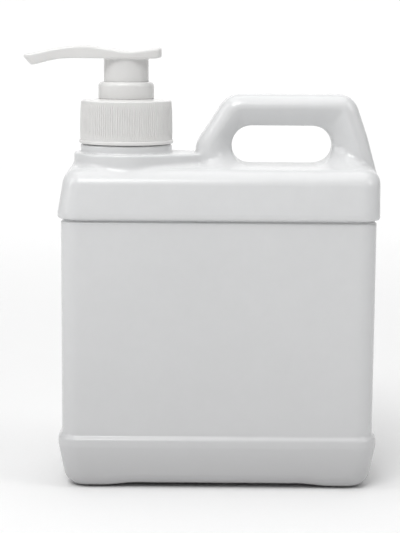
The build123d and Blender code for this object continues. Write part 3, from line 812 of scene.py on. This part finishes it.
FINISHES = {
    # The bottle's last colour is the painted shade tone for its lower wall and foot.
    "bottle_hdpe": moulded("blown_can_white", (0.71, 0.715, 0.72), (0.75, 0.755, 0.76), 0.22, 0.00003,
                           (0.50, 0.50, 0.505), IOR=1.54),
    "pump_white": moulded("pump_white", (0.76, 0.755, 0.745), (0.80, 0.795, 0.785), 0.16, 0.00002,
                          IOR=1.5),
    "pump_natural": moulded("pump_natural", (0.70, 0.72, 0.70), (0.80, 0.81, 0.79), 0.38, 0.00002),
    "piston_ldpe": moulded("piston_soft", (0.78, 0.78, 0.74), (0.86, 0.86, 0.83), 0.42, 0.00002),
    "tube_ldpe": moulded("tube_natural", (0.72, 0.74, 0.73), (0.82, 0.83, 0.82), 0.36, 0.00002),
    "foam_seal": foamed("foam_seal"),
    "spring_steel": drawn_steel("spring_wire", (0.62, 0.62, 0.63), 0.28, (1.0, 1.0, 0.2)),
    "ball_steel": drawn_steel("ground_ball", (0.72, 0.72, 0.73), 0.12, (1.0, 1.0, 1.0)),
}


# ----------------------------------------------------------------- making the pieces
def dress(piece, slot_name, body, *nodes):
    """Give a new piece its finish, its body and the CAD nodes that it stands for."""
    piece.data.materials.clear()
    piece.data.materials.append(FINISHES[slot_name])
    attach(piece, body)
    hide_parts(*nodes)


def make_can():
    """Outside skin and cavity, with the threaded neck joined on and bored through."""
    low, high = bottle_low[0], bottle_high[0]
    can = mesh_piece("bottle_shell", skin(
        can_field,
        lines((low - 2, low + 12, 0.8), (low + 12, high - 12, 1.1), (high - 12, high + 2, 0.8)),
        lines((-31, -22, 0.8), (-22, -1, 1.1), (-1, 1, 0.25), (1, 22, 1.1), (22, 31, 0.8)),
        lines((-1, 8, 0.8), (8, 17, 1.5), (17, 27, 0.6), (27, 118, 6.0), (118, 127, 0.6), (127, 136, 1.5),
              (136, 147, 0.8), (147, 155, 0.6), (155, HANDLE_TOP + 1, 0.95))))
    cavity = mesh_piece("cavity", skin(
        can_field, lines((low, high, 2.6)), lines((-30, 30, 2.6)), lines((0, HANDLE_TOP, 2.6)), level=-WALL))
    cut_or_join(can, bar("neck", NECK_RADIUS, NECK_BASE - NECK_SUNK, LAND), "UNION")
    thread = mesh_piece("thread", thread_ridge(
        NECK_RADIUS, THREAD_CREST, THREAD_FOOT, THREAD_TOP, THREAD_START, THREAD_TURNS))
    cut_or_join(can, thread, "UNION")
    cut_or_join(can, cavity, "DIFFERENCE")
    cut_or_join(can, bar("bore", NECK_BORE, DECK - NECK_ROOT, LAND + RUN_OVER), "DIFFERENCE")
    dress(can, "bottle_hdpe", "bottle", "bottle")


def make_closure():
    """Screw closure: shell, grip ribs and inside thread."""
    bottom, top = closure_low[2], closure_high[2]
    edge = top - CONE_RISE
    shell = turned([
        (CLOSURE_BORE, bottom, 0.3), (CLOSURE_BEAD, bottom, 0.5), (CLOSURE_BEAD, bottom + BEAD_HEIGHT, 0.5),
        (CLOSURE_WALL_LOW, bottom + BEAD_HEIGHT + 0.1, 0.1), (CLOSURE_WALL_HIGH, edge, 0.7),
        (RIM, top, 0.2), (CLOSURE_HOLE, top, 0.0), (CLOSURE_HOLE, edge - PANEL_THICK, 0.0),
        (CLOSURE_BORE, edge - PANEL_THICK, 0.0)], 240)
    start = THREAD_START - THREAD_MESH_DROP + THREAD_PITCH * THREAD_LAG / 360
    ridge = thread_ridge(CLOSURE_BORE, CLOSURE_BORE - CLOSURE_THREAD_HEIGHT, CLOSURE_THREAD_FOOT,
                         CLOSURE_THREAD_TOP, start, CLOSURE_THREAD_TURNS, THREAD_LAG)
    closure = mesh_piece("screw_closure", shell, ridge, sharp=35.0)
    ribs = rib_tree().make("closure_ribs", {
        "Count": RIB_COUNT, "Low Radius": (CLOSURE_WALL_LOW + RIB_OUT) * MM,
        "High Radius": (CLOSURE_WALL_HIGH + RIB_OUT) * MM, "Bottom": (bottom + BEAD_HEIGHT - 0.1) * MM,
        "Top": (edge - RIB_BELOW_EDGE) * MM, "Rib Radius": RIB_RADIUS * MM, "Axis X": NECK_X * MM,
        "Finish": FINISHES["pump_white"]})
    dress(ribs, "pump_white", "closure")
    dress(closure, "pump_white", "closure", "closure")


def make_chaplet():
    """Collar that the head slides in: rim, skirt into the housing cup, floor and boss."""
    low, high = chaplet_low[2], chaplet_high[2]
    seat = high - CHAPLET_STANDS
    under, floor = low + CHAPLET_FLOOR_UP, low + 2 * CHAPLET_FLOOR_UP
    boss = under + CHAPLET_BOSS
    bore = SKIRT + SKIRT_ROOM
    collar = mesh_piece("chaplet", turned([
        (STEM + STEM_FIT, under, 0.0), (bore, under, 0.0), (bore, low, 0.0), (CHAPLET_SKIRT, low, 0.3),
        (CHAPLET_SKIRT, seat, 0.0), (RIM, seat, 0.3), (RIM, high, 2.1), (bore, high, 0.08),
        (bore, floor, 0.4), (CHAPLET_BOSS_RADIUS, floor, 0.3), (CHAPLET_BOSS_RADIUS, boss, 0.4),
        (STEM + STEM_FIT, boss, 0.2)],
        160), sharp=35.0)
    dress(collar, "pump_white", "pump_unit", "chaplet")


def make_head():
    """Finger pad, spout and skirt as one moulding."""
    head = mesh_piece("pump_head", skin(
        head_field,
        lines((head_low[0] - 0.8, head_high[0] + 0.8, 0.45)),
        lines((-PAD_HALF - 0.8, PAD_HALF + 0.8, 0.42)),
        lines((head_low[2] - 0.6, UNDERSIDE - 3.0, 0.45), (UNDERSIDE - 3.0, head_high[2] + 0.8, 0.36))),
        sharp=50.0)
    dress(head, "pump_white", "plunger", "head")


def make_spring():
    """Return spring, made as a fixed coil of round wire; the real spring shortens as the head goes down."""
    foot, top = (corner[2] for corner in node_box("spring"))
    length = top - foot
    coil = coil_tree().make("return_spring", {
        "Turns": SPRING_COILS, "Coil Radius": SPRING_COIL * MM, "Length": (length - 2 * SPRING_WIRE) * MM,
        "Wire Radius": SPRING_WIRE * MM, "Axis X": NECK_X * MM, "Foot": (foot + SPRING_WIRE) * MM,
        "Finish": FINISHES["spring_steel"]})
    dress(coil, "spring_steel", "pump_unit", "spring")
    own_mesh(coil)


def dress_inner_pieces():
    """Finishes for the pieces inside the can, whose shapes stay as they are."""
    inner = {
        "housing": "pump_natural", "ball_cage": "pump_natural", "poppet": "pump_natural",
        "stem": "pump_white", "piston": "piston_ldpe", "gasket": "foam_seal", "dip_tube": "tube_ldpe",
        "check_ball": "ball_steel"}
    for node, slot_name in inner.items():
        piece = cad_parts[node]
        piece.data.materials.clear()
        piece.data.materials.append(FINISHES[slot_name])


# ------------------------------------------------------------ camera, light, floor
CAMERA_PLACE = ((BODY_X - 8.2) * MM, -0.700, 0.2002)
CAMERA_PITCH = 8.36
CAMERA_ROLL = 0.007
LENS = 104.15
WORLD_STRENGTH = 0.16
# Each lamp: name, place, what it faces, width, height (all in metres) and power.
LAMPS = [
    ("overhead", (0.0, 0.0, 1.3), (0.0, 0.0, 0.1), 1.5, 1.3, 9.6),
    ("key", (-0.40, -1.0, 1.35), (0.0, 0.0, 0.1), 0.8, 0.6, 11.0),
    ("right_side", (1.2, -0.5, 1.0), (0.0, 0.0, 0.1), 0.5, 0.9, 4.0),
    ("left_side", (-1.2, -0.3, 0.9), (0.0, 0.0, 0.1), 0.5, 0.9, 4.0),
    ("backdrop", (0.0, 1.0, 1.5), (0.0, 2.4, 0.7), 2.4, 0.8, 27.0),
]
FLOOR_FRONT = -2.5
FLOOR_BACK = 1.6
FLOOR_BEND = 0.8
WALL_HEIGHT = 2.0
FLOOR_SIDE = 3.0
FLOOR_DROP = 0.0002


def place_camera(scene):
    """Level with the head, looking slightly down at the can."""
    data = bpy.data.cameras.new("camera")
    data.sensor_fit = "VERTICAL"
    data.sensor_height = 36.0
    data.lens = LENS
    camera = bpy.data.objects.new("camera", data)
    scene.collection.objects.link(camera)
    tilt = Matrix.Rotation(math.radians(90.0 - CAMERA_PITCH), 4, "X")
    camera.matrix_world = Matrix.Translation(CAMERA_PLACE) @ tilt @ Matrix.Rotation(CAMERA_ROLL, 4, "Z")
    scene.camera = camera


def light_studio(scene):
    """Large soft lamps and a weak white sky."""
    world = bpy.data.worlds.new("studio")
    world.use_nodes = True
    sky = world.node_tree.nodes["Background"]
    sky.inputs["Color"].default_value = (1.0, 1.0, 1.0, 1.0)
    sky.inputs["Strength"].default_value = WORLD_STRENGTH
    scene.world = world
    for name, spot, aim, width, height, power in LAMPS:
        lamp = bpy.data.lights.new(name, "AREA")
        lamp.shape = "RECTANGLE"
        lamp.size, lamp.size_y, lamp.energy = width, height, power
        holder = bpy.data.objects.new(name, lamp)
        turn = (Vector(aim) - Vector(spot)).to_track_quat("-Z", "Y").to_matrix().to_4x4()
        holder.matrix_world = Matrix.Translation(spot) @ turn
        scene.collection.objects.link(holder)


def lay_floor():
    """A pale floor that curves up behind into a wall."""
    sweep = [(FLOOR_FRONT, 0.0)]
    for turn in np.linspace(0.0, math.pi / 2, 25):
        sweep.append((FLOOR_BACK + FLOOR_BEND * math.sin(turn), FLOOR_BEND * (1 - math.cos(turn))))
    sweep.append((FLOOR_BACK + FLOOR_BEND, FLOOR_BEND + WALL_HEIGHT))
    points = np.array([(way * FLOOR_SIDE, y, z - FLOOR_DROP) for y, z in sweep for way in (-1, 1)])
    faces = [(2 * i, 2 * i + 1, 2 * i + 3, 2 * i + 2) for i in range(len(sweep) - 1)]
    floor = mesh_piece("floor", (points / MM, faces))
    floor.data.materials.append(studio_paper())


make_can()
make_closure()
make_chaplet()
make_head()
make_spring()
dress_inner_pieces()
bpy.context.scene.view_settings.view_transform = "Standard"
place_camera(bpy.context.scene)
light_studio(bpy.context.scene)
lay_floor()
